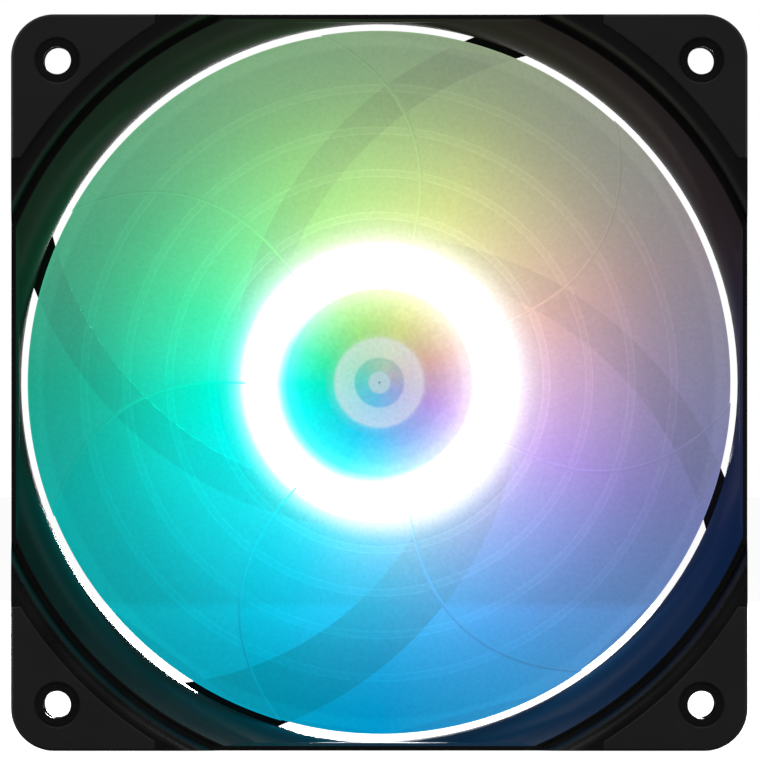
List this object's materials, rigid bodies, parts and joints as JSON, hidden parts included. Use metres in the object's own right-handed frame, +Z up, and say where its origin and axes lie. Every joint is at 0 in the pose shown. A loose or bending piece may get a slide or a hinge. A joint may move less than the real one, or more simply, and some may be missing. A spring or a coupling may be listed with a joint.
{
  "type": "computer case fan",
  "caption": "Square axial computer case fan with a frosted lit rotor, black duct housing, curved rear struts, rubber corner pads and a screw hole through each corner.",
  "frame": {"origin": "on the spin axis, in the plane of the rear screw bosses", "axes": "+Y along the spin axis towards the air outlet and struts, -Y out of the air inlet, +Z up with the fan standing on its lower edge, +X to the right seen from the inlet"},
  "size_m": [0.12, 0.025, 0.12],
  "materials": {
    "black_plastic": "fine satin grain",
    "rubber_pad": "matte",
    "label": "satin film",
    "brass": "machined",
    "bronze": "sintered",
    "white_nylon": "satin",
    "steel": "ground",
    "lamination": "rolled",
    "former": "satin",
    "board": "white solder mask",
    "chip": "matte",
    "capacitor": "satin",
    "solder": "tinned",
    "magnet": "ferrite bonded in plastic",
    "copper": "enamelled copper",
    "lamp": "lit",
    "lit_plastic": "frosted, lit from inside"
  },
  "bodies": {
    "housing": {"frame": "black_plastic", "base_label": "label", "bearing_tube": "brass", "sleeve_bearing": "bronze", "thrust_pad": "white_nylon", "oil_seal": "white_nylon", "stator_core": "lamination", "insulator_front": "former", "insulator_rear": "former", "circuit_board": "board", "motor_driver_chip": "chip", "hall_sensor": "chip", "protection_diode": "chip", "chip_capacitors": "capacitor", "chip_resistors": "chip", "solder_lands": "solder", "coil_1": "copper", "front_corner_pad_1": "rubber_pad", "rear_corner_pad_1": "rubber_pad", "coil_2": "copper", "front_corner_pad_2": "rubber_pad", "rear_corner_pad_2": "rubber_pad", "coil_3": "copper", "front_corner_pad_3": "rubber_pad", "rear_corner_pad_3": "rubber_pad", "coil_4": "copper", "front_corner_pad_4": "rubber_pad", "rear_corner_pad_4": "rubber_pad", "lamp_1": "lamp", "lamp_2": "lamp", "lamp_3": "lamp", "lamp_4": "lamp", "lamp_5": "lamp", "lamp_6": "lamp", "lamp_7": "lamp", "lamp_8": "lamp"},
    "rotor": {"impeller": "lit_plastic", "rotor_yoke": "steel", "ring_magnet": "magnet", "shaft_bushing": "brass", "shaft": "steel", "retaining_clip": "white_nylon", "oil_slinger": "white_nylon"}
  },
  "joints": [
    {"name": "rotor_spin", "type": "hinge", "parent": "housing", "child": "rotor", "pos_m": [0, -0.0123, 0], "axis": [0, -1, 0], "continuous": true}
  ]
}
